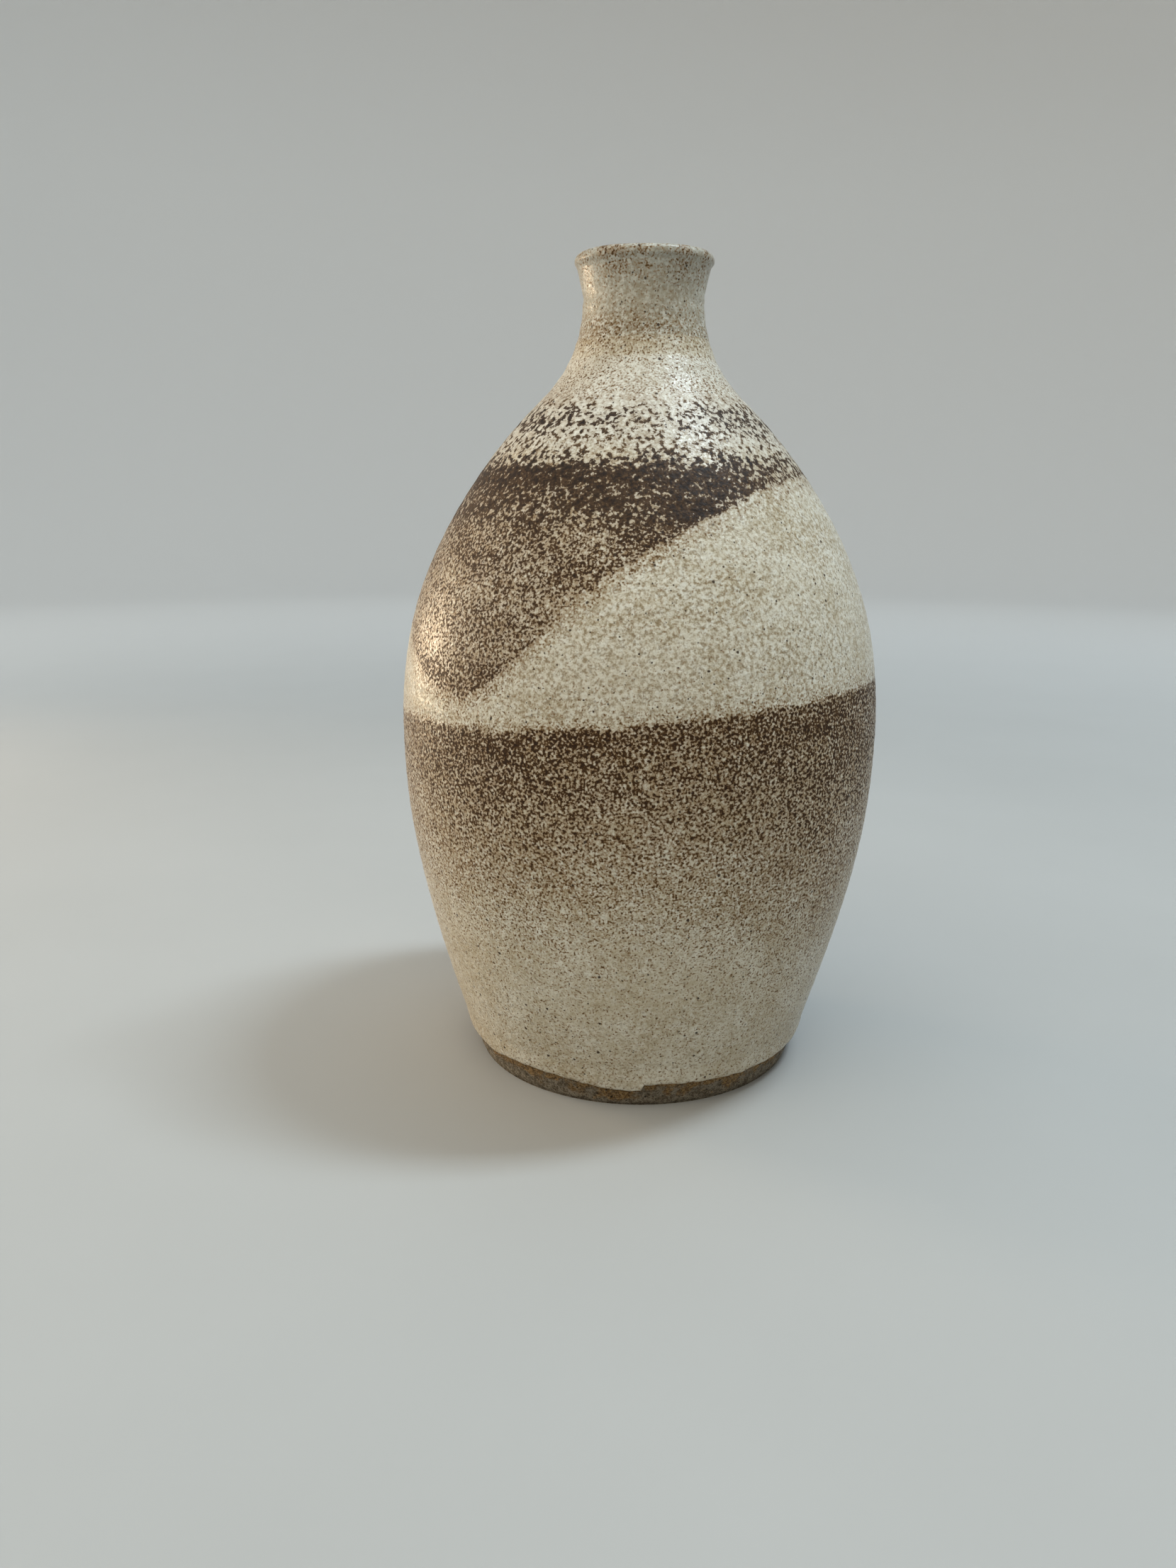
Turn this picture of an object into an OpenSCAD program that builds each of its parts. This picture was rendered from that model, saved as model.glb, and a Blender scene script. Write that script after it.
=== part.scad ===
// Wheel-thrown stoneware bottle vase: one fired clay body under an outer glaze and a liner glaze.
// Millimetres, +Z up. The origin is the centre of the foot, on the table.

/* [Outline] */
// Height from the table to the top of the lip
vase_h = 240; // [234:1:246]
// Radius of the foot where it meets the table
foot_r = 50.3; // [46:0.1:54]
// Outward lean of the wall at the foot, per millimetre of height
foot_lean = 0.35; // [0.25:0.01:0.45]
// Radius of the belly at its widest
belly_r = 72.6; // [68:0.1:78]
// Height of the widest ring of the belly
belly_z = 104; // [95:1:115]
// Radius of the shoulder where it starts to close in quickly
shoulder_r = 58.7; // [56:0.1:61]
// Height of that shoulder ring
shoulder_z = 162.5; // [158:0.5:166]
// Inward lean of the wall at the shoulder
shoulder_lean = 0.543; // [0.45:0.001:0.65]
// Radius of the collar, where the shoulder turns up into the neck
collar_r = 30; // [28:0.1:32]
// Height of the collar ring
collar_z = 200; // [198:0.5:202]
// Inward lean of the wall at the collar, its steepest place
collar_lean = 1.045; // [0.95:0.001:1.15]
// Outer radius of the neck at its narrowest
waist_r = 17.7; // [17:0.1:19]
// Height of the narrowest place of the neck
waist_z = 229; // [227:0.5:230]

/* [Lip] */
// Radius of the circle along the crown of the lip
lip_r = 18; // [17.5:0.1:19]
// Radius of the rounded edge of the lip
lip_round = 2.1; // [1.8:0.1:2.4]

/* [Inside] */
// Thickness of the wall and its glazes just above the floor
wall_foot = 7; // [5:0.5:9]
// The same at the belly
wall_belly = 5.6; // [4:0.1:8]
// Sideways thickness at the shoulder
wall_shoulder = 6; // [5:0.1:8]
// Sideways thickness at the collar
wall_collar = 6.6; // [5.5:0.1:8]
// Thickness of the floor with its glaze
floor_t = 7; // [5:0.5:10]
// Radius of the hollow's lower corner
corner_round = 14; // [8:1:18]
// Radius of the straight throat, over its glaze
throat_r = 13; // [11:0.1:13.5]
// Height of the lower end of the straight throat
throat_low = 216; // [214:0.5:218]
// Length of the straight throat
throat_len = 14; // [10:0.5:14]

/* [Foot ring] */
// Width of the flat ring that the vase stands on
ring_w = 9; // [6:0.5:14]
// Depth of the trimmed hollow inside the ring
recess_h = 1.5; // [1:0.1:3]
// Width of the bevel round the bottom edge
foot_bevel = 0.8; // [0.4:0.1:1.5]

/* [Glaze] */
// Thickness of both glaze coats
glaze_t = 0.6; // [0.3:0.1:0.8]
// Height at which the outer glaze stops, leaving bare clay below
glaze_line = 8; // [5:0.5:12]

/* [Hidden] */
$fn = 128;
wall_step = 4;
arc_step = 15;
throat_high = throat_low + throat_len;
lip_z = vase_h - lip_round;
// The outline runs on to the lip's rounded edge where the two have the same direction.
lip_join_out = 30;
lip_join_in = 25;
floor_top = recess_h + floor_t;
corner_lean = atan(foot_lean);
corner_z = floor_top + corner_round * (1 - sin(corner_lean));

clay_color = "#8a7564";
cream_color = "#d3c6b0";
liner_color = "#cbbda6";

// A station is [height, radius, lean], where lean is the change of radius per millimetre of height.
outline = [
  [0, foot_r + glaze_t, foot_lean],
  [belly_z, belly_r, 0],
  [shoulder_z, shoulder_r, -shoulder_lean],
  [collar_z, collar_r, -collar_lean],
  [waist_z, waist_r, 0],
  [lip_z - lip_round * sin(lip_join_out), lip_r + lip_round * cos(lip_join_out), tan(lip_join_out)]
];
hollow = [
  [corner_z, curve_r(outline, corner_z) - wall_foot, foot_lean],
  [belly_z, belly_r - wall_belly, 0],
  [shoulder_z, shoulder_r - wall_shoulder, -shoulder_lean],
  [collar_z, collar_r - wall_collar, -collar_lean],
  [throat_low, throat_r, 0]
];
flare = [
  [throat_high, throat_r, 0],
  [lip_z + lip_round * sin(lip_join_in), lip_r - lip_round * cos(lip_join_in), tan(lip_join_in)]
];

// Smooth curve through stations a and b, at the fraction t of the way up.
function span_r(a, b, t) =
  (1 + 2 * t) * (1 - t) * (1 - t) * a[1] + t * (1 - t) * (1 - t) * (b[0] - a[0]) * a[2]
  + t * t * (3 - 2 * t) * b[1] - t * t * (1 - t) * (b[0] - a[0]) * b[2];
function span_lean(a, b, t) =
  6 * t * (1 - t) * (b[1] - a[1]) / (b[0] - a[0])
  + (1 - t) * (1 - 3 * t) * a[2] + t * (3 * t - 2) * b[2];
function span_of(c, z, i = 0) = i >= len(c) - 2 || z <= c[i + 1][0] ? i : span_of(c, z, i + 1);
function part_of(c, z, i) = (z - c[i][0]) / (c[i + 1][0] - c[i][0]);
function curve_r(c, z) = let (i = span_of(c, z)) span_r(c[i], c[i + 1], part_of(c, z, i));
function curve_lean(c, z) = let (i = span_of(c, z)) span_lean(c[i], c[i + 1], part_of(c, z, i));

// A path point is [radius, height, outward r, outward z]: a place on the glazed surface and its normal.
function wall_point(c, z, side) =
  let (lean = curve_lean(c, z))
  let (size = sqrt(1 + lean * lean))
  [curve_r(c, z), z, side / size, -side * lean / size];
// Values from the first stop to the last, in equal steps between each stop and the next.
function stepped(stops, step) = concat(
  [for (k = [0:len(stops) - 2])
    let (a = stops[k], b = stops[k + 1], n = ceil(abs(b - a) / step))
    for (i = [0:n - 1]) a + (b - a) * i / n],
  [stops[len(stops) - 1]]
);
function wall_path(c, stops, side) = [for (z = stepped(stops, wall_step)) wall_point(c, z, side)];
function arc_path(r, z, size, stops, side) =
  [for (a = stepped(stops, arc_step))
    [r + size * cos(a), z + size * sin(a), side * cos(a), side * sin(a)]];
function inner_of(path) = [for (i = [1:len(path) - 2]) path[i]];
function surface_of(path) = [for (p = path) [p[0], p[1]]];
function under_glaze(path) = [for (p = path) [p[0] - glaze_t * p[2], p[1] - glaze_t * p[3]]];
function reversed(list) = [for (i = [len(list) - 1:-1:0]) list[i]];

lip_join_z = outline[len(outline) - 1][0];
corner_arc_r = hollow[0][1] - corner_round * cos(corner_lean);

outer_path = concat(
  wall_path(outline, [glaze_line, belly_z, shoulder_z, collar_z, waist_z, lip_join_z], 1),
  inner_of(arc_path(lip_r, lip_z, lip_round, [-lip_join_out, 90, 180 - lip_join_in], 1)),
  wall_path(flare, [flare[1][0], throat_high], -1)
);
liner_path = concat(
  [[throat_r, throat_high, -1, 0]],
  wall_path(hollow, [throat_low, collar_z, shoulder_z, belly_z, corner_z], -1),
  inner_of(arc_path(corner_arc_r, floor_top + corner_round, corner_round, [-corner_lean, -90], -1)),
  [[corner_arc_r, floor_top, 0, 1], [0, floor_top, 0, 1]]
);
foot_path = wall_path(outline, [foot_bevel, glaze_line], 1);

// Fired clay: floor, belly, shoulder, neck and lip in one thrown wall, with a bare foot.
module stoneware_body() {
  ring_in = foot_r - ring_w;
  color(clay_color)
    rotate_extrude()
      polygon(concat(
        [[0, recess_h], [ring_in - recess_h, recess_h], [ring_in, 0], [foot_r, 0]],
        under_glaze([for (i = [0:len(foot_path) - 2]) foot_path[i]]),
        under_glaze(outer_path),
        under_glaze([for (i = [1:len(liner_path) - 1]) liner_path[i]])
      ));
}

// Cream glaze over the outside, round the lip and down to the start of the straight throat.
module outer_glaze() {
  color(cream_color)
    rotate_extrude()
      polygon(concat(surface_of(outer_path), reversed(under_glaze(outer_path))));
}

// Glaze poured inside: the straight throat, the hollow and the floor.
module liner_glaze() {
  color(liner_color)
    rotate_extrude()
      polygon(concat(surface_of(liner_path), reversed(under_glaze(liner_path))));
}

stoneware_body();
outer_glaze();
liner_glaze();
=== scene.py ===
"""Stoneware bottle vase: thrown clay body, cream outer glaze with iron speckle, and liner glaze."""

import bpy
import numpy as np
from mathutils import Matrix, Vector


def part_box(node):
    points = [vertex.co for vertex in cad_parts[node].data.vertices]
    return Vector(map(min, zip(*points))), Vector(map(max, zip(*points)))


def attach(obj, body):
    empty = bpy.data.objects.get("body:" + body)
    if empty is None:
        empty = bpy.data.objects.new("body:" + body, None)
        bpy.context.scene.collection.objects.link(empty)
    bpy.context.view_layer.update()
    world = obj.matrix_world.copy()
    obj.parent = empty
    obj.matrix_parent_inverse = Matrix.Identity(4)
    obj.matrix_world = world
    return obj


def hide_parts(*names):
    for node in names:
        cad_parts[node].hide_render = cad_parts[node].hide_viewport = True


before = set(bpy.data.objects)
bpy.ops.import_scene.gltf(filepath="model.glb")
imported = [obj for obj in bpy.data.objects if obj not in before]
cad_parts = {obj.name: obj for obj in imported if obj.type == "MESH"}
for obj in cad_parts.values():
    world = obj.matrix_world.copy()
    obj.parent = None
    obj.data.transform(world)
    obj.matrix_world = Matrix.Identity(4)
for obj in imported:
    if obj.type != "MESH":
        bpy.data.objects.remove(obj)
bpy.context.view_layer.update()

MM = 0.001
AROUND = 400  # faces round the clay and its outer glaze
LINER_AROUND = 160  # faces round the liner
SHARP = np.radians(50)  # a steeper fold than this stays a crisp edge

# Heights taken from the solids, mm.
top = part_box("outer_glaze")[1].z / MM
glaze_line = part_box("outer_glaze")[0].z / MM
throat_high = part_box("liner_glaze")[1].z / MM

# The turned shape is the solids' own, in mm. A lean is the change of radius per mm of height.
COAT = 0.6  # thickness of both glaze coats
FOOT_R, FOOT_LEAN, FOOT_BEVEL = 50.3, 0.35, 0.8
RING_W, RECESS = 9.0, 1.5
BELLY_Z, BELLY_R = 104, 72.6
SHOULDER_Z, SHOULDER_R, SHOULDER_LEAN = 162.5, 58.7, -0.543
COLLAR_Z, COLLAR_R, COLLAR_LEAN = 200, 30, -1.045
WAIST_Z, WAIST_R = 229, 17.7
LIP_R, LIP_ROUND = 18.0, 2.1  # radius of the lip's crown, and of its rounded edge
LIP_Z = top - LIP_ROUND
JOIN_OUT, JOIN_IN = np.radians(30), np.radians(25)  # where the wall and the flare meet the rounded edge
WALL_TOP = LIP_Z - LIP_ROUND * np.sin(JOIN_OUT)
FLARE_TOP = LIP_Z + LIP_ROUND * np.sin(JOIN_IN)
THROAT_R, THROAT_LOW = 13.0, 216.0
FLOOR_TOP, CORNER = 8.5, 14.0  # height of the floor's face, and radius of the hollow's lower corner
CORNER_LEAN = np.arctan(FOOT_LEAN)
CORNER_Z = FLOOR_TOP + CORNER * (1 - np.sin(CORNER_LEAN))
# Sideways thickness of the wall with both coats.
WALL_FOOT, WALL_BELLY, WALL_SHOULDER, WALL_COLLAR = 7.0, 5.6, 6.0, 6.6


def curve(stations, z):
    """Radius and lean of the smooth curve through (height, radius, lean) stations, at heights z."""
    z = np.asarray(z, float)
    radius, lean = np.zeros_like(z), np.zeros_like(z)
    last = len(stations) - 2
    for k, (a, b) in enumerate(zip(stations[:-1], stations[1:])):
        here = ((z >= a[0]) | (k == 0)) & ((z < b[0]) | (k == last))
        h = b[0] - a[0]
        t = (z[here] - a[0]) / h
        radius[here] = (1 + 2 * t) * (1 - t) ** 2 * a[1] + t * (1 - t) ** 2 * h * a[2]
        radius[here] += t * t * (3 - 2 * t) * b[1] - t * t * (1 - t) * h * b[2]
        lean[here] = 6 * t * (1 - t) * (b[1] - a[1]) / h
        lean[here] += (1 - t) * (1 - 3 * t) * a[2] + t * (3 * t - 2) * b[2]
    return radius, lean


OUTLINE = [
    (0, FOOT_R + COAT, FOOT_LEAN),
    (BELLY_Z, BELLY_R, 0),
    (SHOULDER_Z, SHOULDER_R, SHOULDER_LEAN),
    (COLLAR_Z, COLLAR_R, COLLAR_LEAN),
    (WAIST_Z, WAIST_R, 0),
    (WALL_TOP, LIP_R + LIP_ROUND * np.cos(JOIN_OUT), np.tan(JOIN_OUT)),
]
FLARE = [
    (throat_high, THROAT_R, 0),
    (FLARE_TOP, LIP_R - LIP_ROUND * np.cos(JOIN_IN), np.tan(JOIN_IN)),
]
HOLLOW = [
    (CORNER_Z, curve(OUTLINE, [CORNER_Z])[0][0] - WALL_FOOT, FOOT_LEAN),
    (BELLY_Z, BELLY_R - WALL_BELLY, 0),
    (SHOULDER_Z, SHOULDER_R - WALL_SHOULDER, SHOULDER_LEAN),
    (COLLAR_Z, COLLAR_R - WALL_COLLAR, COLLAR_LEAN),
    (THROAT_LOW, THROAT_R, 0),
]


def smooth(x, low, high):
    """0 below low, 1 above high, and a smooth rise between."""
    t = np.clip((np.asarray(x, float) - low) / (high - low), 0, 1)
    return t * t * (3 - 2 * t)


def bump(x, centre, width):
    """1 at the centre, falling away smoothly to about a third one width from it."""
    return np.exp(-(((x - centre) / width) ** 2))


def wrap(az):
    """A direction in degrees, brought to between -180 and 180."""
    return (az + 180) % 360 - 180


def drift(az, z, seed, around, rings=50, count=9):
    """Slow seeded variation, mostly from -1 to 1, made of a count of waves that close round the vase.

    around is the most waves that fit round the vase, and rings is about the least height of a wave in mm.
    """
    rng = np.random.default_rng(seed)
    total = 0
    for _ in range(count):
        turns = rng.integers(0, around + 1)
        climb = 2 * np.pi / (rings * rng.uniform(0.8, 2.5)) * rng.choice([-1, 1])
        total = total + np.sin(turns * np.radians(az) + climb * z + rng.uniform(0, 2 * np.pi))
    deviation = np.sqrt(count / 2)
    return total / deviation / 1.6


# ---------------------------------------------------------------- meshes


def column(values):
    """The values as rows, one to a row."""
    return np.asarray(values, float)[:, None]


def azimuths(count):
    """Directions round the vase in degrees: 0 is the front (-Y), and 90 is +X."""
    return np.arange(count) * 360.0 / count - 180.0


def stacked(strips, az):
    """Joins strips of (radii, heights), each spread to all the directions, into one pair of grids."""
    grids = [np.broadcast_arrays(r, z, az)[:2] for r, z in strips]
    return [np.concatenate(part) for part in zip(*grids)]


def turned(path_r, path_z, az):
    """Rings of points from radii and heights, each (rows, 1) or (rows, around)."""
    a = np.radians(az)[None, :]
    r = np.broadcast_to(path_r, (path_r.shape[0], az.size))
    z = np.broadcast_to(path_z, r.shape)
    return np.stack([r * np.sin(a), -r * np.cos(a), z], -1)


def ring_mesh(name, rings, poles=(False, False)):
    """A mesh through rings of points, shape (rows, around, 3) in mm.

    The last ring joins the first. With poles, the first or last ring closes at a point on the axis.
    """
    rows, around, _ = rings.shape
    verts = [rings.reshape(-1, 3)]
    i = np.arange(around)
    j = (i + 1) % around
    steps = rows - 1 if any(poles) else rows
    quads = []
    for r in range(steps):
        a, b = r * around, ((r + 1) % rows) * around
        quads.append(np.stack([a + i, a + j, b + j, b + i], 1))
    faces = [list(map(int, q)) for q in np.concatenate(quads)]
    count = rows * around
    for pole, row in zip(poles, (0, rows - 1)):
        if pole:
            verts.append([[0.0, 0.0, rings[row, 0, 2]]])
            a = row * around
            for k in range(around):
                n = (k + 1) % around
                faces.append([a + n, a + k, count] if row == 0 else [a + k, a + n, count])
            count += 1
    mesh = bpy.data.meshes.new(name)
    mesh.from_pydata((np.concatenate(verts) * MM).tolist(), [], faces)
    mesh.validate()
    for p in mesh.polygons:
        p.use_smooth = True
    mesh.set_sharp_from_angle(angle=SHARP)
    obj = bpy.data.objects.new(name, mesh)
    bpy.context.scene.collection.objects.link(obj)
    return obj


def add_value(obj, name, values):
    """Stores one number per vertex, for the materials to read."""
    layer = obj.data.attributes.new(name, "FLOAT", "POINT")
    layer.data.foreach_set("value", np.asarray(values, np.float32).ravel())


# ---------------------------------------------------------------- shape


def throwing(az, z):
    """How far the potter's fingers left the wall in or out, mm. It hardly passes 0, so the box holds."""
    pitch, fine_pitch = 5.2, 2.3
    spiral = np.sin(2 * np.pi * z / pitch + np.radians(az) + 0.8 * np.sin(z / 17.0))
    fine = np.sin(2 * np.pi * z / fine_pitch + np.radians(az) + 1.3 * np.sin(z / 9.0))
    # The rings are deepest on the neck.
    ring_depth = 0.035 + 0.07 * smooth(z, 196, 216) * (1 - smooth(z, 232, 238))
    wobble = 0.16 * drift(az, z, seed=3, around=3, rings=60) + 0.05 * drift(az, z, seed=4, around=7, rings=16)
    inset = 0.16
    return ring_depth * (spiral - 1) + 0.35 * ring_depth * (fine - 1) + wobble * 0.6 - inset


def glaze_edge(az):
    """Height at which the outer glaze ends above the foot, mm. One overlap leaves a step at the front."""
    wrapped = wrap(az)
    waves = 0.3 * drift(az, 0, seed=11, around=9) + 0.2 * drift(az, 0, seed=12, around=70, count=16)
    overlap = 2.3 * smooth(wrapped, -24, -1) * (wrapped < 3.2)
    runs = 0.9 * bump(wrapped, -52, 7) + 0.5 * bump(wrapped, 33, 12)
    return 8.1 + waves - overlap - runs


def above_edge(rise, edge):
    """Heights of rows that follow the glaze's uneven lower edge and level out 14 mm above it."""
    return glaze_line + rise + (edge - glaze_line) * (1 - smooth(rise, 0, 14))


def off_curve(stations, z, out):
    """Radii and heights of places that lie out mm from a curve, square to it and away from the axis."""
    radius, lean = curve(stations, z)
    size = np.sqrt(1 + lean**2)
    return radius + out / size, z - out * lean / size


def lip_arc(degrees, reach):
    """Radii and heights round the lip's edge, at angles up from outwards, and at a reach from its centre."""
    a = column(np.radians(degrees))
    return LIP_R + reach * np.cos(a), LIP_Z + reach * np.sin(a)


def thrown_wall(az, edge):
    """The outer glaze's seen face from its lower edge up to the lip."""
    near_edge = [0, 0.06, 0.2, 0.42, 0.72, 1.1, 1.6, 2.3, 3.1, 4.0]
    rise = column(np.concatenate([near_edge, np.linspace(5, WALL_TOP - glaze_line, 170)]))
    z = above_edge(rise, edge)
    # The edge is a rounded roll of glaze, a little thicker than the coat above it.
    front = np.sqrt(np.clip(1 - (1 - np.clip(rise / 1.1, 0, 1)) ** 2, 0, 1))
    roll = 0.35 * (1 - smooth(rise, 0.9, 7))
    coat = (COAT + roll) * front - COAT
    return off_curve(OUTLINE, z, coat + throwing(az, z) * smooth(rise, 0, 6))


def outer_glaze():
    """The cream coat: rounded edge above the foot, thrown wall, rolled lip and the flare into the throat."""
    directions = azimuths(AROUND)
    az = directions[None, :]
    edge = glaze_edge(az)
    lip_wave = 0.12 * np.minimum(drift(az, 0, seed=21, around=4) - 1, 0)
    flare_z = column(np.linspace(FLARE_TOP, throat_high, 9))
    face = [
        thrown_wall(az, edge),
        lip_arc(np.arange(-20, 155, 10), LIP_ROUND + lip_wave),
        (curve(FLARE, flare_z)[0], flare_z),
    ]
    # The hidden side lies on the clay.
    rise = column(np.linspace(WALL_TOP - glaze_line, 0.35, 26))
    back = [
        off_curve(FLARE, flare_z[::-2], COAT),
        lip_arc(np.arange(150, -20, -20), LIP_ROUND - COAT),
        off_curve(OUTLINE, above_edge(rise, edge), -COAT),
    ]
    r, z = stacked(face + back, az)
    obj = ring_mesh("speckled_glaze", turned(r, z, directions))
    add_value(obj, "iron_bar", -probit(iron_share(az, z)))
    add_value(obj, "coarse", coarseness(z))
    add_value(obj, "freckle", freckles(az, z))
    add_value(obj, "fleck", flecked(az, z))
    # Painted light from above and painted shade, by height, with the thin glaze on the lip.
    add_value(obj, "light_and_thin_lip", painted_light_and_thin_lip(z))
    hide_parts("outer_glaze")
    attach(obj, "root")
    return obj


def inside_path():
    """Radii, heights and outward normals of the hollow's glazed face, from the throat down to the floor."""
    z = np.concatenate([[throat_high], np.linspace(THROAT_LOW, CORNER_Z, 64)])
    r, lean = curve(HOLLOW, np.minimum(z, THROAT_LOW))
    size = np.sqrt(1 + lean**2)
    nr, nz = -1 / size, lean / size
    a = np.linspace(-CORNER_LEAN, -np.pi / 2, 9)[1:]
    centre_r, centre_z = HOLLOW[0][1] - CORNER * np.cos(CORNER_LEAN), FLOOR_TOP + CORNER
    r = np.concatenate([r, centre_r + CORNER * np.cos(a), [centre_r * 0.6, centre_r * 0.25]])
    z = np.concatenate([z, centre_z + CORNER * np.sin(a), [FLOOR_TOP, FLOOR_TOP]])
    nr = np.concatenate([nr, -np.cos(a), [0, 0]])
    nz = np.concatenate([nz, -np.sin(a), [1, 1]])
    return r, z, nr, nz


def liner_glaze():
    """The poured coat on the throat, hollow and floor, with throwing rings left by the potter's hand."""
    az = azimuths(LINER_AROUND)
    r, z, nr, nz = inside_path()
    rings = 0.22 * np.sin(2 * np.pi * z / 7.0) * smooth(z, 24, 40) * (1 - smooth(z, 190, 212))
    face = turned(column(r + rings * nr), column(z + rings * nz), az)
    back = turned(column((r - COAT * nr)[::-1]), column((z - COAT * nz)[::-1]), az)
    obj = ring_mesh("liner_glaze_coat", np.concatenate([back, face]), poles=(True, True))
    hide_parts("liner_glaze")
    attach(obj, "root")
    return obj


def foot_underside(az):
    """Radii and heights under the foot: the trimmed recess, its worn cove and the ring that stands."""
    ring_in = FOOT_R - RING_W
    recess = [(8, RECESS), (20, RECESS), (30, RECESS), (ring_in - 3.2, RECESS)]
    cove = [(ring_in - 2.2, RECESS - 0.15), (ring_in - 1.3, RECESS - 0.6), (ring_in - 0.5, 0.25)]
    ring = [(ring_in + 0.2, 0), (ring_in + 3, 0), (FOOT_R - 2, 0), (FOOT_R - 0.25, 0)]
    r, z = (column(part) for part in zip(*(recess + cove + ring)))
    uneven = 0.15 * drift(az, 0, seed=41, around=5)
    return r + uneven * (1 - smooth(r, FOOT_R - 3, FOOT_R - 1)), z


def clay_wall(az):
    """Radii and heights of the clay from its softened bottom edge, past trimming marks, to the lip."""
    bevel = [0.12, 0.3, 0.55, FOOT_BEVEL]
    z = column(np.concatenate([bevel, np.linspace(1.1, 10.5, 30), np.linspace(13, WALL_TOP, 40)]))
    r, lean = curve(OUTLINE, z)
    size = np.sqrt(1 + lean**2)
    marks = -0.05 - 0.045 * (1 - np.cos(2 * np.pi * z / 1.9)) - 0.12 * bump(z, 3.4, 0.5)
    chatter = 0.06 * (drift(az, z, seed=42, around=30, rings=3) - 1)
    trim = (marks + chatter) * (z < 11)
    softened = 0.55 * (1 - smooth(z, 0, FOOT_BEVEL + 0.3)) ** 2
    return r - COAT / size + trim - softened, z + COAT * lean / size * smooth(z, 0, 3)


def clay_body():
    """The fired clay: trimmed foot ring and recess, bare band at the foot, and the wall under the glazes."""
    directions = azimuths(AROUND)
    az = directions[None, :]
    flare_z = column(np.linspace(FLARE_TOP, throat_high, 5)[:-1])
    in_r, in_z, in_nr, in_nz = inside_path()
    strips = [
        foot_underside(az),
        clay_wall(az),
        lip_arc(np.arange(-15, 156, 15), LIP_ROUND - COAT),
        off_curve(FLARE, flare_z, COAT),
        (column(in_r - COAT * in_nr), column(in_z - COAT * in_nz)),
    ]
    r, z = stacked(strips, az)
    obj = ring_mesh("clay_body", turned(r, z, directions), poles=(True, True))
    below = np.clip(glaze_edge(az) - z, -20, 20)
    at_poles = [8, 8]
    add_value(obj, "below_glaze", np.concatenate([below.ravel(), at_poles]))
    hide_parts("stoneware_body")
    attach(obj, "root")
    return obj


# ---------------------------------------------------------------- where the iron lies


def probit(share):
    """Where a bell curve, in deviations from its mean, has this share of itself below. A short formula."""
    p = np.clip(share, 0.0005, 0.9995)
    return (p**0.135 - (1 - p) ** 0.135) / 0.1975


def level(x, pairs):
    """The value at x of straight lines between given (position, value) pairs, in rising order."""
    return np.interp(x, [p[0] for p in pairs], [p[1] for p in pairs])


def shoulder_mask(az):
    """Lower edge of the shoulder's iron, mm: one masked scallop dips at the front left, one at the back."""
    wrapped = wrap(az)
    tip_az, tip_z, back_tip_az = -40.5, 121, 165
    x = wrap(az - tip_az)
    right = 59 * (1 - np.exp(-((np.clip(x, 0, None) / 38) ** 1.35)))
    left = 52 * (1 - np.exp(-((np.clip(-x, 0, None) / 62) ** 1.9)))
    # The right side rises 7 mm higher than the left, so both are brought to one height behind.
    level_out = 3.5 * smooth(np.abs(x), 110, 180) * np.sign(x)
    edge = tip_z + right + left - level_out - 2.2 * bump(wrapped, 14, 26) - 1.4 * bump(wrapped, -27, 8)
    return edge - 52 * bump(wrap(az - back_tip_az), 0, 43)


def belly_mask(az):
    """Upper edge of the belly's iron, mm: a straight mask set a little askew."""
    edge = 116.8 + 6.3 * np.sin(np.radians(az + 3)) + 0.5 * np.sin(np.radians(3 * az + 40))
    return edge + 1.2 * bump(wrap(az), -60, 28)


# Share of the surface under iron inside the shoulder's mask, at heights in mm.
SHOULDER_SHARE = [
    (110, 0.50), (124, 0.50), (130, 0.47), (136, 0.43), (142, 0.39), (148, 0.40), (154, 0.49), (158, 0.56),
    (164, 0.63), (168, 0.69), (171, 0.71), (174, 0.77), (177, 0.90), (180, 0.90), (182, 0.70), (184, 0.36),
    (187, 0.22), (190, 0.28), (193, 0.36), (196, 0.32), (199, 0.18), (203, 0.08), (208, 0.03), (212, 0.03),
    (216, 0.06), (219, 0.06), (222, 0.02), (225, 0.005), (230, 0.002), (240, 0.002),
]
# The same inside the belly's mask, at depths below its upper edge in mm.
BELLY_SHARE = [
    (0, 0.66), (4, 0.65), (9, 0.59), (16, 0.51), (20, 0.42), (27, 0.34), (34, 0.25), (42, 0.16), (52, 0.07),
    (62, 0.03), (76, 0.01),
]


def shoulder_iron(az, z, ragged, cloud):
    """Share of iron inside the shoulder's mask: scallop, dark band, clumps above it, neck and lip."""
    wrapped = wrap(az)
    share = level(z + 0.9 * ragged * smooth(z, 176, 186), SHOULDER_SHARE)
    # The band is darkest where it runs down to the mask's edge at the right of the front.
    share = share + 0.8 * bump(wrapped, 17, 18) * bump(z, 170, 7) * (1 - share)
    thin_right = 1 - 0.4 * bump(wrapped, 60, 28) * smooth(z, 166, 178) * (1 - smooth(z, 182, 187))
    tip = 0.16 * bump(wrapped, -36, 16) * bump(z, 138, 12)
    share = share * thin_right * (1 + tip + 0.2 * cloud * (1 - smooth(share, 0.6, 0.9)))
    sides = 0.5 * bump(wrapped, -48, 26) + 0.5 * bump(wrapped, 50, 22)
    share = share * (1 + sides * bump(z, 192, 7))
    neck = smooth(z, 205, 213)
    share = share * (1 + neck * (0.3 * bump(wrapped, -25, 32) - 0.3 * bump(wrapped, 60, 35)))
    lip = smooth(z, 236.2, 237.6)
    clusters = smooth(drift(az, 0, seed=53, around=14, count=12), 0, 0.8)
    return share * (1 - lip) + lip * (0.02 + 0.3 * clusters)


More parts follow.
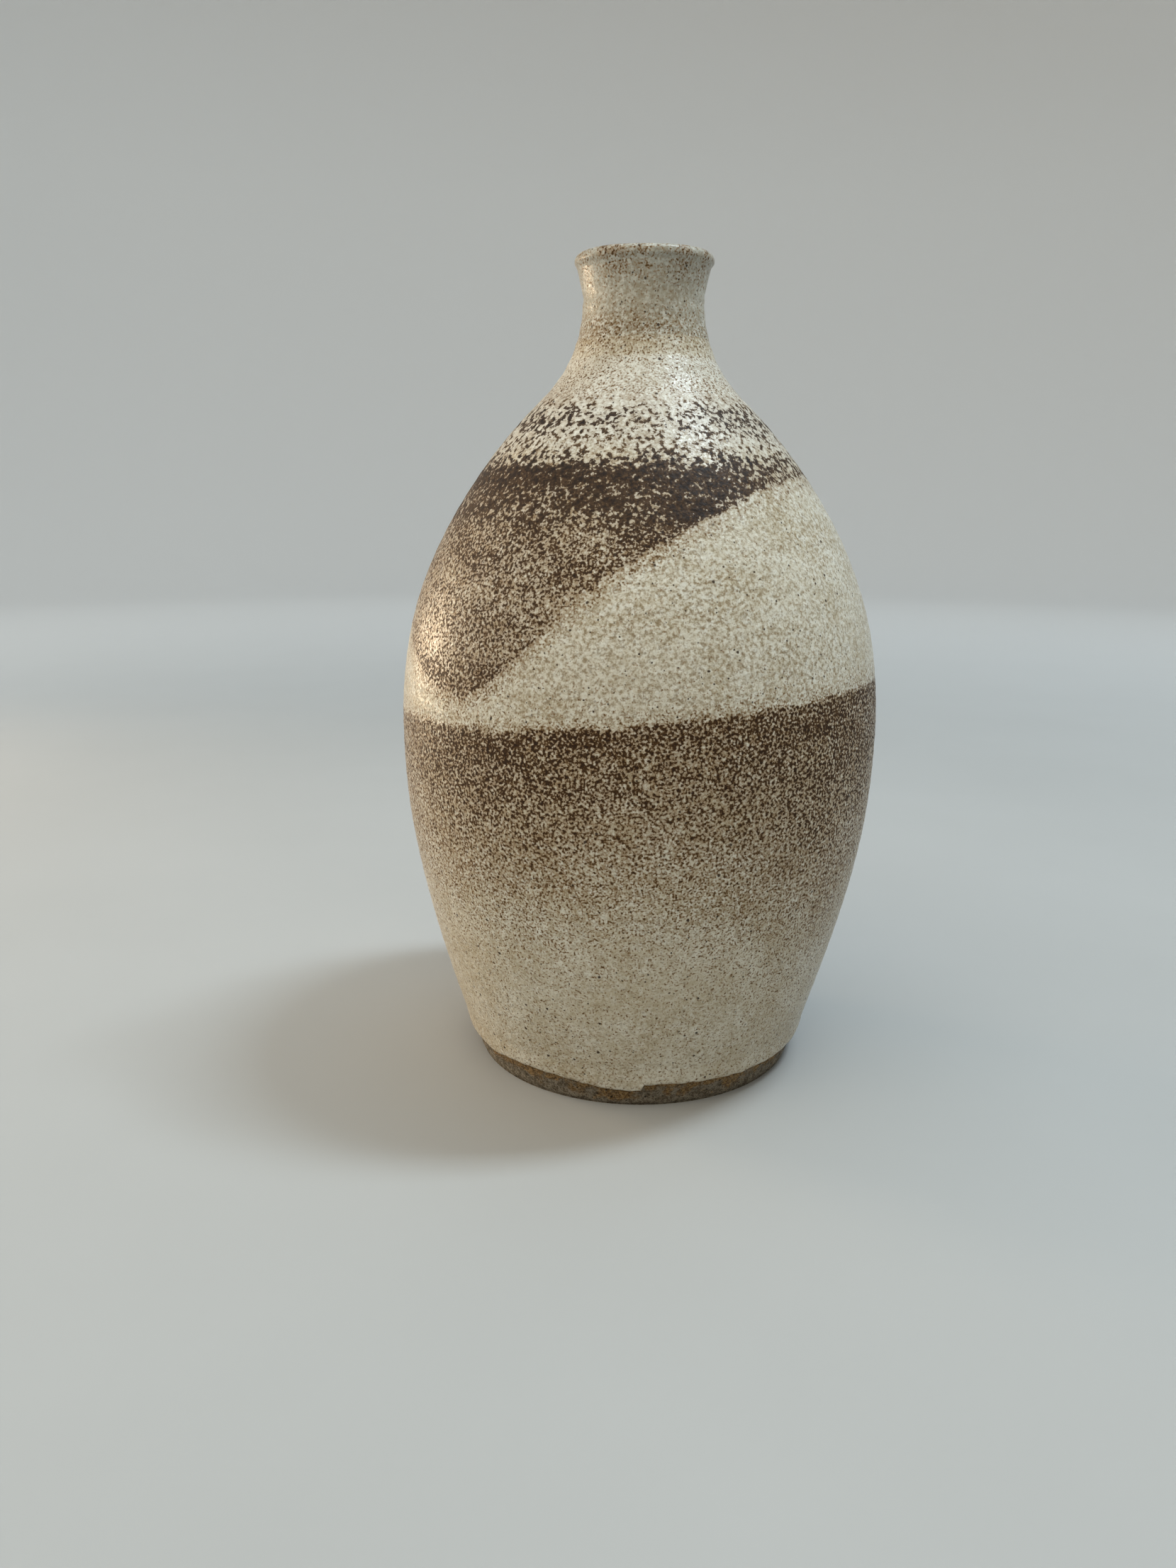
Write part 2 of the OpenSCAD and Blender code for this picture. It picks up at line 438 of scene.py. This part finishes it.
def belly_iron(az, depth, cloud):
    """Share of iron inside the belly's mask, which fades out downwards."""
    wrapped = wrap(az)
    around = 1 + 0.14 * bump(wrapped, -28, 18) - 0.12 * bump(wrapped, 7, 18) + 0.14 * bump(wrapped, 55, 26)
    around = around - 0.22 * bump(wrapped, -68, 20)
    around = around + 0.15 * drift(az, 0, seed=54, around=5) * smooth(np.abs(wrapped), 80, 120)
    longer = 1 - 0.3 * bump(wrapped, 52, 30)
    return level(depth * longer + 1.5 * cloud, BELLY_SHARE) * around * (1 + 0.12 * cloud)


def iron_share(az, z):
    """Share of the glaze covered by iron, 0 to 1, at each direction and height."""
    ragged = drift(az, z, seed=51, around=60, rings=6, count=14)
    cloud = drift(az, z, seed=52, around=14, rings=12, count=14)
    over_mask = z - shoulder_mask(az) + ragged * 0.4
    depth = belly_mask(az) - z
    shoulder = smooth(over_mask, -0.9, 0.8) * shoulder_iron(az, z, ragged, cloud)
    belly = smooth(depth + ragged * 0.4, -0.8, 1.0) * belly_iron(az, depth, cloud)
    # Between the masks only a few specks lie, most of them close to the edges.
    between = smooth(z, 96, 116)
    plain = 0.002 + 0.003 * between * (1 + 0.5 * cloud)
    stray = 0.13 * bump(over_mask, -1.2, 2.6) + 0.04 * bump(depth, -1.2, 1.8)
    return np.clip(np.maximum(shoulder, np.maximum(belly, plain + stray * between)), 0, 0.975)


def coarseness(z):
    """1 where the iron gathers in large clumps, in and above the dark band, and 0 where it is fine."""
    band = 0.22 * smooth(z, 124, 132) + 0.38 * smooth(z, 163, 169) + 0.4 * smooth(z, 178, 184)
    return band * (1 - smooth(z, 196, 204))


def right_side(az, start, end):
    """1 on the vase's right side, rising from one direction to another, and 0 on its left half."""
    wrapped = wrap(az)
    return smooth(wrapped, start, end) * (1 - smooth(wrapped, 120, 150))


def freckles(az, z):
    """How strongly fine tan freckles show in the cream: most between the two bands of iron."""
    between = smooth(z, 92, 118) * (1 - 0.9 * smooth(z, 180, 198))
    fewer_right = 1 - 0.3 * right_side(az, 15, 60)
    tinted = 0.45 * bump(z, 218.5, 4) + 0.3 * bump(z, 74, 20)
    clouds = 0.1 * drift(az, z, seed=61, around=8, rings=20)
    return np.clip(0.36 + 0.5 * between * fewer_right + tinted + clouds, 0, 1)


def flecked(az, z):
    """Share of the glaze's small cells that hold a fleck: most in a ring on the neck, least above it."""
    middle = 0.15 * smooth(z, 92, 118) * (1 - right_side(az, 10, 60))
    neck = smooth(z, 196, 208) * (0.45 * bump(z, 218, 4.5) - 0.2 * smooth(z, 221, 226))
    clouds = 0.12 * drift(az, z, seed=62, around=6, rings=24)
    return np.clip(0.42 + middle + neck + clouds, 0, 1)


def painted_light_and_thin_lip(z):
    """Above 0 higher up, painted light from above; below 0 low down and on the neck, painted shade, and on
    the thin lip.
    """
    # Painted shade on the neck; the last rise is the glaze lying thin on the lip.
    neck = 3.2 * smooth(z, 210, 217.5) + 0.4 * smooth(z, 234, 237)
    return -0.35 + 0.95 * smooth(z, 88, 125) + 0.8 * smooth(z, 180, 188) - neck


# ---------------------------------------------------------------- materials

# Colours are linear RGB. The cream runs from warm to lighter in clouds and, as painted light, with height.
# It is greyer on the neck, painted shade, and on the lip, where it lies thin; palest on the upper shoulder,
# painted light.
WARM_CREAM, PALE_CREAM = (0.51, 0.44, 0.315), (0.65, 0.60, 0.485)
SHADE_AND_THIN_CREAM, SKYLIT_CREAM = (0.35, 0.34, 0.29), (0.665, 0.645, 0.58)
WHITE_PATCH, WHITE_GRAIN = (0.71, 0.69, 0.61), (0.71, 0.69, 0.605)
TAN_PATCH, FRECKLE = (0.40, 0.33, 0.22), (0.23, 0.165, 0.085)
# The iron where it is fine, a bean brown, and where it is coarse, nearer to plum.
DARK_IRON = (0.057, 0.024, 0.004), (0.054, 0.030, 0.015)
LIGHT_IRON = (0.080, 0.037, 0.009), (0.070, 0.040, 0.022)
BURNT_IRON = (0.024, 0.010, 0.003), (0.012, 0.007, 0.005)
SPARSE_IRON = (0.155, 0.086, 0.030)
# The stain round the iron, darkest and lightest, and the flecks.
RUST_STAIN = (0.20, 0.107, 0.040), (0.27, 0.168, 0.082)
FLECK_STAIN, FLECK = (0.110, 0.064, 0.028), (0.032, 0.015, 0.006)
# The clay, darkest and lightest, away from the glaze and just below it, and what shows in it.
GREY_CLAY = (0.125, 0.098, 0.064), (0.25, 0.21, 0.155)
FLASHED_CLAY = (0.14, 0.078, 0.028), (0.33, 0.20, 0.08)
PALE_GROG, DARK_GROG, PIT = (0.34, 0.28, 0.20), (0.032, 0.020, 0.011), (0.015, 0.010, 0.006)


class Graph:
    """Short names for the shader nodes that the materials use."""

    def __init__(self, name):
        self.mat = bpy.data.materials.new(name)
        self.mat.use_nodes = True
        self.tree = self.mat.node_tree
        self.shader = self.tree.nodes["Principled BSDF"]
        geometry = self.tree.nodes.new("ShaderNodeTexCoord")
        grow = self.tree.nodes.new("ShaderNodeVectorMath")
        grow.operation = "SCALE"
        grow.inputs["Scale"].default_value = 1 / MM
        self.tree.links.new(geometry.outputs["Object"], grow.inputs[0])
        self.mm = grow.outputs[0]

    def feed(self, socket, value):
        """Links a node's output to the socket, or sets the socket to a plain value."""
        if isinstance(value, bpy.types.NodeSocket):
            self.tree.links.new(value, socket)
        else:
            socket.default_value = value

    def surface(self, name, value):
        """Feeds one of the shader's inputs."""
        self.feed(self.shader.inputs[name], value)

    def value(self, name):
        """The number that add_value stored under this name."""
        node = self.tree.nodes.new("ShaderNodeAttribute")
        node.attribute_name = name
        return node.outputs["Fac"]

    def math(self, operation, a, b=0.0, c=None):
        """The result of one operation on plain numbers or nodes' outputs."""
        node = self.tree.nodes.new("ShaderNodeMath")
        node.operation = operation
        self.feed(node.inputs[0], a)
        self.feed(node.inputs[1], b)
        if c is not None:
            self.feed(node.inputs[2], c)
        return node.outputs[0]

    def noise(self, per_mm, detail=2.0, rough=0.5, twist=0.0):
        """Fractal noise about 0.5, with this many waves to the mm."""
        node = self.tree.nodes.new("ShaderNodeTexNoise")
        self.tree.links.new(self.mm, node.inputs["Vector"])
        node.inputs["Scale"].default_value = per_mm
        node.inputs["Detail"].default_value = detail
        node.inputs["Roughness"].default_value = rough
        node.inputs["Distortion"].default_value = twist
        return node.outputs["Fac"]

    def even(self, noise, deviation):
        """The noise with a mean of 0 and a deviation of 1, so a threshold lets a known share through."""
        return self.math("DIVIDE", self.math("SUBTRACT", noise, 0.5), deviation)

    def wavy(self, per_mm, reach_mm):
        """Places pushed about by up to half the reach, which makes round flecks uneven."""
        node = self.tree.nodes.new("ShaderNodeTexNoise")
        self.tree.links.new(self.mm, node.inputs["Vector"])
        node.inputs["Scale"].default_value = per_mm
        node.inputs["Detail"].default_value = 1.0
        push = self.tree.nodes.new("ShaderNodeVectorMath")
        push.operation = "MULTIPLY_ADD"
        self.tree.links.new(node.outputs["Color"], push.inputs[0])
        push.inputs[1].default_value = (reach_mm, reach_mm, reach_mm)
        self.tree.links.new(self.mm, push.inputs[2])
        return push.outputs[0]

    def step(self, value, low, high, to_low=0.0, to_high=1.0):
        """A smooth rise from to_low to to_high while the value goes from low to high."""
        node = self.tree.nodes.new("ShaderNodeMapRange")
        node.interpolation_type = "SMOOTHSTEP"
        self.feed(node.inputs["Value"], value)
        self.feed(node.inputs["From Min"], low)
        self.feed(node.inputs["From Max"], high)
        node.inputs["To Min"].default_value = to_low
        node.inputs["To Max"].default_value = to_high
        return node.outputs["Result"]

    def mix(self, factor, a, b):
        """Colour a where the factor is 0, and colour b where it is 1."""
        node = self.tree.nodes.new("ShaderNodeMix")
        node.data_type = "RGBA"
        self.feed(node.inputs[0], factor)
        for socket, value in ((node.inputs[6], a), (node.inputs[7], b)):
            self.feed(socket, value if isinstance(value, bpy.types.NodeSocket) else (*value, 1))
        return node.outputs[2]

    def blend(self, factor, a, b):
        """The same for plain numbers."""
        node = self.tree.nodes.new("ShaderNodeMix")
        self.feed(node.inputs[0], factor)
        self.feed(node.inputs[2], a)
        self.feed(node.inputs[3], b)
        return node.outputs[0]

    def relief(self, height, depth_mm, under=None):
        """Normals tilted by a height from 0 to 1, over any relief that lies under it."""
        node = self.tree.nodes.new("ShaderNodeBump")
        node.inputs["Distance"].default_value = depth_mm * MM
        self.tree.links.new(height, node.inputs["Height"])
        if under is not None:
            self.tree.links.new(under, node.inputs["Normal"])
        return node.outputs["Normal"]

    def dots(self, places, spacing, radius, share):
        """Soft round flecks, one in some cells: 1 at a fleck's middle. Spacing and radius are in mm."""
        node = self.tree.nodes.new("ShaderNodeTexVoronoi")
        self.tree.links.new(places, node.inputs["Vector"])
        node.inputs["Scale"].default_value = 1 / spacing
        split = self.tree.nodes.new("ShaderNodeSeparateColor")
        self.tree.links.new(node.outputs["Color"], split.inputs[0])
        chosen = self.math("LESS_THAN", split.outputs[0], share)
        size = self.math("MULTIPLY_ADD", split.outputs[1], radius / spacing, 0.6 * radius / spacing)
        inner = self.math("MULTIPLY", size, 0.3)
        spot = self.math("SUBTRACT", 1.0, self.step(node.outputs["Distance"], inner, size))
        return self.math("MULTIPLY", spot, chosen)


def glaze_base(g, freckle, light_and_thin_lip):
    """Cream glaze: lighter clouds, tan mottling and fine freckles, with painted light and shade by height.
    Returns its colour and the grain.
    """
    # The height term adds painted light higher up and painted shade lower down to the clouds.
    cloud = g.math("ADD", g.even(g.noise(0.07, 3, 0.6), 0.15), light_and_thin_lip)
    patch = g.even(g.noise(0.42, 2, 0.6), 0.078)
    grain = g.even(g.noise(1.0, 3, 0.6), 0.074)
    cream = g.mix(g.step(cloud, -1.2, 1.2), WARM_CREAM, PALE_CREAM)
    # Greyer cream: painted shade on the neck and the thin glaze on the lip; palest cream: painted light on
    # the shoulder.
    cream = g.mix(g.step(light_and_thin_lip, -1.0, -2.2), cream, SHADE_AND_THIN_CREAM)
    cream = g.mix(g.step(light_and_thin_lip, 0.9, 1.8), cream, SKYLIT_CREAM)
    whiten = g.math("MULTIPLY_ADD", freckle, 0.55, 0.12)
    cream = g.mix(g.math("MULTIPLY", g.step(patch, -0.4, 2.4), whiten), cream, WHITE_PATCH)
    cream = g.mix(g.step(patch, 0.4, -2.6, 0, 0.32), cream, TAN_PATCH)
    cream = g.mix(g.math("MULTIPLY", g.step(grain, 0.6, -2.6), whiten), cream, WHITE_GRAIN)
    cream = g.mix(g.math("MULTIPLY", g.step(grain, -1.2, 2.8), freckle), cream, FRECKLE)
    return cream, grain


def iron_over_bar(g, bar, small, coarse):
    """How far the specks' noise stands over the bar that lets the wanted share of iron through."""
    blot = g.even(g.noise(1.36, 1.5, 0.5, 0.15), 0.087)
    crumb = g.even(g.noise(1.75, 0.6, 0.5), 0.095)
    clump = g.even(g.noise(0.64, 2.5, 0.6, 0.2), 0.076)
    # A blend of two noises varies less than either, so it is stretched back to a deviation of 1.
    shrink = g.math("MULTIPLY", g.math("MULTIPLY", small, g.math("SUBTRACT", 1.0, small)), -2.0)
    fine = g.math("DIVIDE", g.blend(small, blot, crumb), g.math("SQRT", g.math("ADD", 1.0, shrink)))
    return g.math("SUBTRACT", g.blend(coarse, fine, clump), bar)


def iron_colour(g, bar, coarse, over, tone):
    """Brown of the specks: darker well inside a speck, lighter where the specks are few."""
    bean = g.mix(g.step(tone, 0.4, 0.6), g.mix(coarse, *DARK_IRON), g.mix(coarse, *LIGHT_IRON))
    bean = g.mix(g.step(bar, 0.0, 1.2, 0, 0.8), bean, SPARSE_IRON)
    return g.mix(g.step(over, 0.2, 2.6), bean, g.mix(coarse, *BURNT_IRON))


def flecks(g, colour, many):
    """The colour with small round flecks on it: faint brown stains, dark flecks and a few large ones."""
    places = g.wavy(1.6, 0.4)
    stain = g.dots(places, 1.25, 0.34, g.math("MULTIPLY", many, 0.9))
    colour = g.mix(g.math("MULTIPLY", stain, 0.45), colour, FLECK_STAIN)
    fleck = g.dots(places, 1.6, 0.27, g.math("MULTIPLY", many, 0.85))
    fleck = g.math("MAXIMUM", fleck, g.dots(places, 3.5, 0.44, 0.4))
    return g.mix(g.step(fleck, 0.05, 0.75, 0, 0.93), colour, FLECK)


def speckled_glaze():
    """Satin cream glaze with iron melted into it. Iron leaves it a little less shiny."""
    g = Graph("speckled_glaze")
    bar, coarse = g.value("iron_bar"), g.value("coarse")
    cream, grain = glaze_base(g, g.value("freckle"), g.value("light_and_thin_lip"))
    small = g.step(bar, 0.45, 1.5)
    over = iron_over_bar(g, bar, small, coarse)
    tone = g.noise(0.3, 3, 0.6)
    # Cream caught between dense specks is stained tan, and sparse specks have only a narrow rusty rim.
    reach = g.math("MULTIPLY_ADD", small, 0.5, -2.6)
    halo = g.math("MULTIPLY", g.step(over, reach, 0.0, 0, 0.74), g.math("MULTIPLY_ADD", coarse, -0.5, 1.0))
    colour = g.mix(halo, cream, g.mix(g.step(tone, 0.35, 0.65), *RUST_STAIN))
    iron = g.step(g.math("MULTIPLY", over, g.math("MULTIPLY_ADD", coarse, 0.6, 1.0)), -0.42, 0.6)
    colour = g.mix(iron, colour, iron_colour(g, bar, coarse, over, tone))
    g.surface("Base Color", flecks(g, colour, g.value("fleck")))
    matte = g.math("MULTIPLY", iron, 0.3)
    g.surface("Roughness", g.math("ADD", g.step(grain, -1.5, 1.5, 0.26, 0.36), matte))
    soft = g.relief(g.noise(0.16, 2), 0.25)
    g.surface("Normal", g.relief(g.noise(0.95, 2, 0.6), 0.20, soft))
    g.surface("IOR", 1.5)
    g.surface("Specular IOR Level", 0.18)
    return g.mat


def liner_coat():
    """The same cream glaze inside, with no iron."""
    g = Graph("liner_coat")
    cream, grain = glaze_base(g, 0.4, 0.0)
    g.surface("Base Color", cream)
    g.surface("Roughness", g.step(grain, -1.5, 1.5, 0.3, 0.42))
    g.surface("Normal", g.relief(g.noise(0.85, 2), 0.08))
    return g.mat


def bare_clay():
    """Fired clay: grey-brown with grog and pits, flashed rusty just below the glaze."""
    g = Graph("bare_clay")
    wander = g.math("MULTIPLY", g.even(g.noise(0.22, 3, 0.6), 0.075), 1.5)
    near_glaze = g.step(g.math("ADD", g.value("below_glaze"), wander), 4.2, 0.6)
    grog = g.even(g.noise(1.9, 3, 0.7), 0.07)
    body = g.mix(g.step(g.even(g.noise(0.6, 3, 0.6), 0.075), -1.5, 1.5), *GREY_CLAY)
    flashed = g.mix(g.step(g.even(g.noise(0.9, 3, 0.6), 0.075), -1.5, 1.5), *FLASHED_CLAY)
    colour = g.mix(near_glaze, body, flashed)
    colour = g.mix(g.step(grog, 0.4, 2.2, 0, 0.6), colour, PALE_GROG)
    colour = g.mix(g.step(grog, -0.2, -1.8, 0, 0.75), colour, DARK_GROG)
    colour = g.mix(g.dots(g.wavy(1.2, 0.8), 2.0, 0.36, 0.4), colour, PIT)
    g.surface("Base Color", colour)
    g.surface("Roughness", g.step(grog, -2, 2, 0.75, 0.92))
    g.surface("Normal", g.relief(grog, 0.035))
    g.surface("Specular IOR Level", 0.15)
    return g.mat


# ---------------------------------------------------------------- stage, lights and camera


def floor_paint():
    """Light grey round the vase, and paler from 0.4 m out to 1.6 m."""
    g = Graph("floor_paint")
    reach = g.tree.nodes.new("ShaderNodeVectorMath")
    reach.operation = "LENGTH"
    g.tree.links.new(g.mm, reach.inputs[0])
    near = g.mix(g.noise(0.01, 3), (0.38, 0.38, 0.37), (0.41, 0.41, 0.40))
    g.surface("Base Color", g.mix(g.step(reach.outputs["Value"], 400, 1600), near, (0.82, 0.82, 0.81)))
    g.surface("Roughness", 0.85)
    return g.mat


def stage():
    """A floor that curves up all round into a wall, and a dim sky. No view sees a hard edge."""
    flat, bend, wall = 1.7, 0.8, 2.4
    a = np.linspace(0, np.pi / 2, 13)
    profile_r = np.concatenate([[0.3, 0.8], flat + bend * np.sin(a), [flat + bend]])
    profile_z = np.concatenate([[0, 0], bend - bend * np.cos(a), [wall]])
    rings = turned(column(profile_r / MM), column(profile_z / MM), azimuths(96))
    floor = ring_mesh("floor", rings, poles=(True, False))
    floor.data.materials.append(floor_paint())
    world = bpy.data.worlds.new("studio")
    world.use_nodes = True
    background = world.node_tree.nodes["Background"]
    background.inputs["Color"].default_value = (0.86, 0.87, 0.86, 1)
    background.inputs["Strength"].default_value = 0.3
    bpy.context.scene.world = world


def soft_light(name, towards, distance, width, height, colour, watts, spread=180):
    """A rectangular light aimed at the vase's middle. Sizes and distance are in metres, spread in degrees."""
    light = bpy.data.lights.new(name, "AREA")
    light.shape = "RECTANGLE"
    light.size, light.size_y = width, height
    light.color = colour
    light.energy = watts
    light.spread = np.radians(spread)
    obj = bpy.data.objects.new(name, light)
    aim = Vector((0, 0, 0.13))
    place = aim + Vector(towards).normalized() * distance
    obj.location = place
    obj.rotation_euler = (aim - place).to_track_quat("-Z", "Y").to_euler()
    obj.visible_camera = False
    bpy.context.scene.collection.objects.link(obj)


def lights():
    """A warm sky in front, a blue one above, a cool window over the shoulder, and two at the left."""
    soft_light("sky_front", (-0.25, -0.62, 0.85), 1.6, 1.3, 1.1, (1.0, 0.91, 0.72), 8.8)
    soft_light("sky_above", (0.05, 0.25, 1.0), 1.6, 1.5, 1.2, (0.62, 0.84, 1.0), 6.8)
    soft_light("window_above", (0.42, 0.05, 0.92), 1.3, 0.15, 0.36, (0.76, 0.90, 1.0), 11.8)
    soft_light("window_left", (-0.88, 0.44, 0.06), 1.1, 0.32, 0.28, (1.0, 0.77, 0.52), 0.96, spread=70)
    soft_light("room_left", (-0.95, -0.15, 0.45), 1.5, 1.5, 1.2, (1.0, 0.92, 0.81), 8.4)


def camera():
    """The photographer's phone: a little above the shoulder, close to the vase, looking down."""
    # The angles, and the place in heights of the vase, were solved together with the vase's proportions.
    yaw, pitch, roll = np.radians([-2.44, 14.13, 0.22])
    away, height = 1.5115 * top * MM, 0.732 * top * MM
    forward = Vector((np.sin(yaw) * np.cos(pitch), np.cos(yaw) * np.cos(pitch), -np.sin(pitch)))
    level_right = Vector((np.cos(yaw), -np.sin(yaw), 0))
    level_up = level_right.cross(forward)
    right = np.cos(roll) * level_right + np.sin(roll) * level_up
    up = -np.sin(roll) * level_right + np.cos(roll) * level_up
    data = bpy.data.cameras.new("camera")
    data.sensor_fit = "VERTICAL"
    data.sensor_width, data.sensor_height = 27.0, 36.0
    data.lens = 27.05
    data.clip_start = 0.01
    obj = bpy.data.objects.new("camera", data)
    axes = Matrix((right, up, -forward)).transposed().to_4x4()
    obj.matrix_world = Matrix.Translation((0, -away, height)) @ axes
    bpy.context.scene.collection.objects.link(obj)
    bpy.context.scene.camera = obj


bpy.context.scene.view_settings.view_transform = "Standard"
outer_glaze().data.materials.append(speckled_glaze())
liner_glaze().data.materials.append(liner_coat())
clay_body().data.materials.append(bare_clay())
stage()
lights()
camera()
